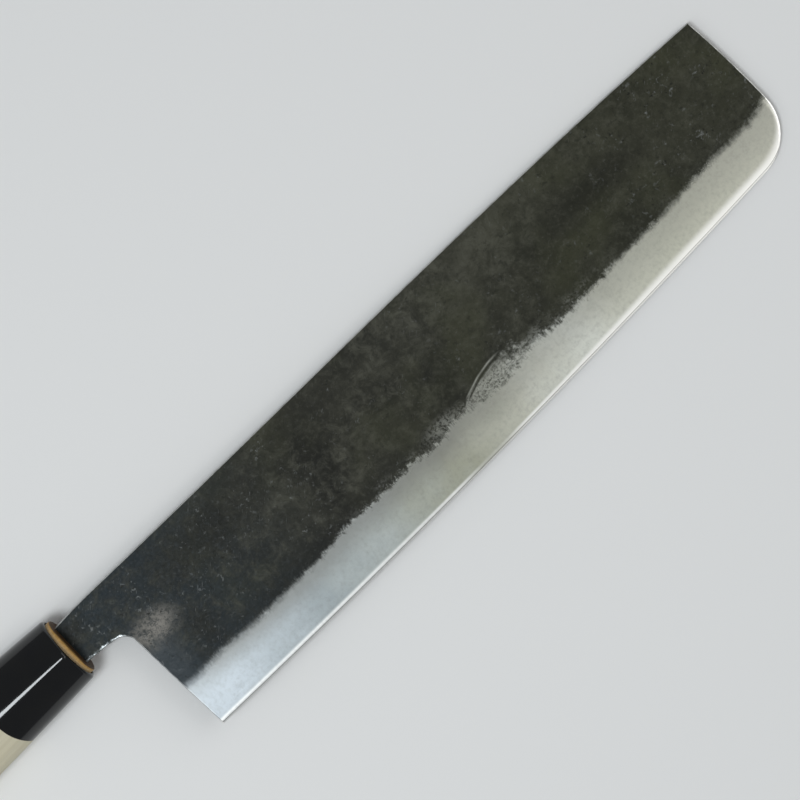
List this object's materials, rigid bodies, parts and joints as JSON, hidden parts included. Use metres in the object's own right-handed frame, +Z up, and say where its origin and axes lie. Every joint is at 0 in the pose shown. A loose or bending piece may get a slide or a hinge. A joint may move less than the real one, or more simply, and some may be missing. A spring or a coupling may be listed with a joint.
{
  "type": "kitchen knife",
  "caption": "Long straight-edged vegetable knife with a black forged blade, wide ground bevel, squared and rounded tip, black ferrule and flared chestnut-section wooden handle.",
  "frame": {"origin": "on the surface that the knife lies on, under the middle of its bounding box", "axes": "+X towards the blade's front, +Y towards the spine, +Z up, out of the blade's right face"},
  "size_m": [0.3938, 0.062, 0.0255],
  "materials": {
    "clad_iron": "matte",
    "core_steel": "satin",
    "ferrule_black": "gloss",
    "handle_wood": "matte"
  },
  "bodies": {
    "root": {"core_steel": "core_steel", "right_cladding": "clad_iron", "left_cladding": "clad_iron", "ferrule": "ferrule_black", "handle": "handle_wood"}
  },
  "joints": []
}
